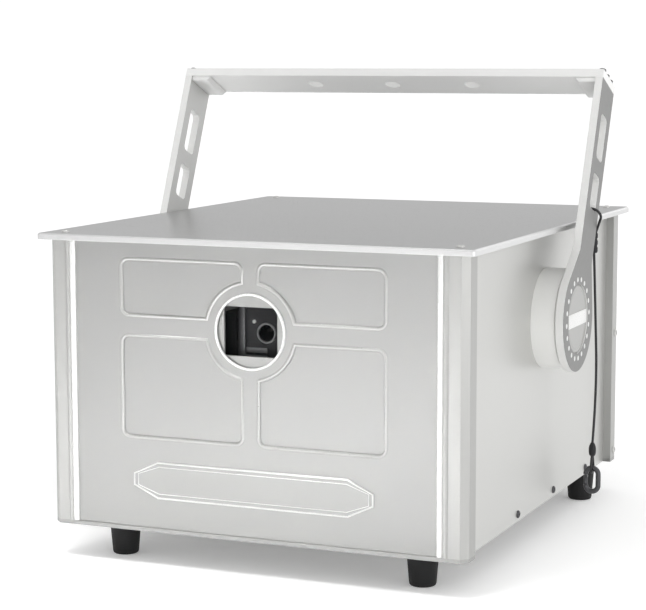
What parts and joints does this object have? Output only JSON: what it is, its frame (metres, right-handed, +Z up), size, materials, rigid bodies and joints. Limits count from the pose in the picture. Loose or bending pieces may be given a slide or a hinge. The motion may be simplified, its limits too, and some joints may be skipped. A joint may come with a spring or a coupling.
{
  "type": "laser show projector",
  "caption": "Silver laser show projector: boxed housing on feet with a round front window, carried in a slotted tilting yoke with a safety cable.",
  "frame": {"origin": "centre of the footprint, on the surface that the feet stand on", "axes": "+Z up, -Y out of the front window, +X to the right of someone facing the front"},
  "size_m": [0.365, 0.399, 0.3574],
  "materials": {
    "silver_paint": "satin silver paint",
    "satin_aluminium": "satin",
    "black_aluminium": "black anodised",
    "black_rubber": "matt",
    "pale_nylon": "moulded nylon",
    "window_glass": "clear",
    "screw_steel": "plated",
    "dark_steel": "blackened",
    "black_cable": "sheathed wire",
    "black_plastic": "moulded",
    "supply_case": null,
    "board_green": "solder mask",
    "dark_display": "smoked",
    "scanner_mirror": "polished"
  },
  "bodies": {
    "housing": {"aperture_ring": "satin_aluminium", "base_plate": "silver_paint", "beam_combiners": "black_aluminium", "case_screws": "screw_steel", "control_board": "board_green", "corner_posts": "silver_paint", "display_board": "board_green", "display_window": "dark_display", "dmx_sockets": "black_plastic", "fan_frames": "black_plastic", "fan_guards": "screw_steel", "feet": "black_rubber", "friction_washers": "pale_nylon", "front_panel": "silver_paint", "galvo_block": "black_aluminium", "galvo_driver": "black_aluminium", "galvo_motor_x": "black_aluminium", "galvo_motor_y": "black_aluminium", "ilda_socket": "black_plastic", "key_switch": "screw_steel", "label_plate": "silver_paint", "laser_module_blue": "black_aluminium", "laser_module_green": "black_aluminium", "laser_module_red": "black_aluminium", "lid": "silver_paint", "optics_plate": "satin_aluminium", "optics_standoffs": "screw_steel", "pivot_boss_left": "satin_aluminium", "pivot_boss_right": "satin_aluminium", "pivot_studs": "screw_steel", "power_inlet": "black_plastic", "power_supply": "supply_case", "power_switch": "black_plastic", "rear_panel": "silver_paint", "side_panel_left": "silver_paint", "side_panel_right": "silver_paint", "window_frame": "silver_paint", "window_glass": "window_glass"},
    "yoke": {"yoke_arm_right": "satin_aluminium", "yoke_arm_left": "satin_aluminium", "yoke_crossbar": "satin_aluminium", "yoke_corner_blocks": "satin_aluminium", "yoke_screws": "dark_steel", "safety_cable": "black_cable", "cable_eyes": "black_cable", "cable_ferrules": "black_aluminium", "snap_hook": "dark_steel"},
    "snap_hook_gate": {"snap_hook_gate": "dark_steel"},
    "lock_knob_right": {"lock_knob_right": "satin_aluminium"},
    "lock_knob_left": {"lock_knob_left": "satin_aluminium"},
    "galvo_mirror_x": {"galvo_mirror_x": "scanner_mirror"},
    "galvo_mirror_y": {"galvo_mirror_y": "scanner_mirror"},
    "fan_rotor_right": {"fan_rotor_right": "black_plastic"},
    "fan_rotor_left": {"fan_rotor_left": "black_plastic"},
    "power_rocker": {"power_rocker": "black_plastic"},
    "key_barrel": {"key_barrel": "screw_steel"},
    "menu_button_1": {"menu_button_1": "black_plastic"},
    "menu_button_2": {"menu_button_2": "black_plastic"},
    "menu_button_3": {"menu_button_3": "black_plastic"},
    "menu_button_4": {"menu_button_4": "black_plastic"}
  },
  "joints": [
    {"name": "yoke_tilt", "type": "hinge", "parent": "housing", "child": "yoke", "pos_m": [0, 0.004, 0.17], "axis": [-1, 0, 0], "range_deg": [-82, 35]},
    {"name": "snap_hook_gate_hinge", "type": "hinge", "parent": "yoke", "child": "snap_hook_gate", "pos_m": [0.173, 0.057, 0.0384], "axis": [0, -1, 0], "range_deg": [0, 22], "stiffness_Nm_per_rad": 0.02},
    {"name": "lock_knob_right_turn", "type": "hinge", "parent": "housing", "child": "lock_knob_right", "pos_m": [0.178, 0.004, 0.17], "axis": [1, 0, 0], "range_deg": [0, 180]},
    {"name": "lock_knob_left_turn", "type": "hinge", "parent": "housing", "child": "lock_knob_left", "pos_m": [-0.178, 0.004, 0.17], "axis": [-1, 0, 0], "range_deg": [0, 180]},
    {"name": "galvo_mirror_x_turn", "type": "hinge", "parent": "housing", "child": "galvo_mirror_x", "pos_m": [-0.009, -0.14, 0.176], "axis": [0, 1, 0], "range_deg": [-12, 12]},
    {"name": "galvo_mirror_y_turn", "type": "hinge", "parent": "housing", "child": "galvo_mirror_y", "pos_m": [0.016, -0.1582, 0.176], "axis": [1, 0, 0], "range_deg": [-12, 12]},
    {"name": "fan_right_spin", "type": "hinge", "parent": "housing", "child": "fan_rotor_right", "pos_m": [0.09009, 0.165, 0.171], "axis": [0, 1, 0], "continuous": true},
    {"name": "fan_left_spin", "type": "hinge", "parent": "housing", "child": "fan_rotor_left", "pos_m": [-0.09009, 0.165, 0.171], "axis": [0, 1, 0], "continuous": true},
    {"name": "power_rocker_tip", "type": "hinge", "parent": "housing", "child": "power_rocker", "pos_m": [0.07579, 0.1763, 0.071], "axis": [1, 0, 0], "range_deg": [0, 16]},
    {"name": "key_turn", "type": "hinge", "parent": "housing", "child": "key_barrel", "pos_m": [0.04404, 0.175, 0.071], "axis": [0, 1, 0], "range_deg": [0, 90]},
    {"name": "menu_button_1_press", "type": "slide", "parent": "housing", "child": "menu_button_1", "axis": [0, -1, 0], "range_m": [0, 0.001], "stiffness_N_per_m": 400},
    {"name": "menu_button_2_press", "type": "slide", "parent": "housing", "child": "menu_button_2", "axis": [0, -1, 0], "range_m": [0, 0.001], "stiffness_N_per_m": 400},
    {"name": "menu_button_3_press", "type": "slide", "parent": "housing", "child": "menu_button_3", "axis": [0, -1, 0], "range_m": [0, 0.001], "stiffness_N_per_m": 400},
    {"name": "menu_button_4_press", "type": "slide", "parent": "housing", "child": "menu_button_4", "axis": [0, -1, 0], "range_m": [0, 0.001], "stiffness_N_per_m": 400}
  ]
}
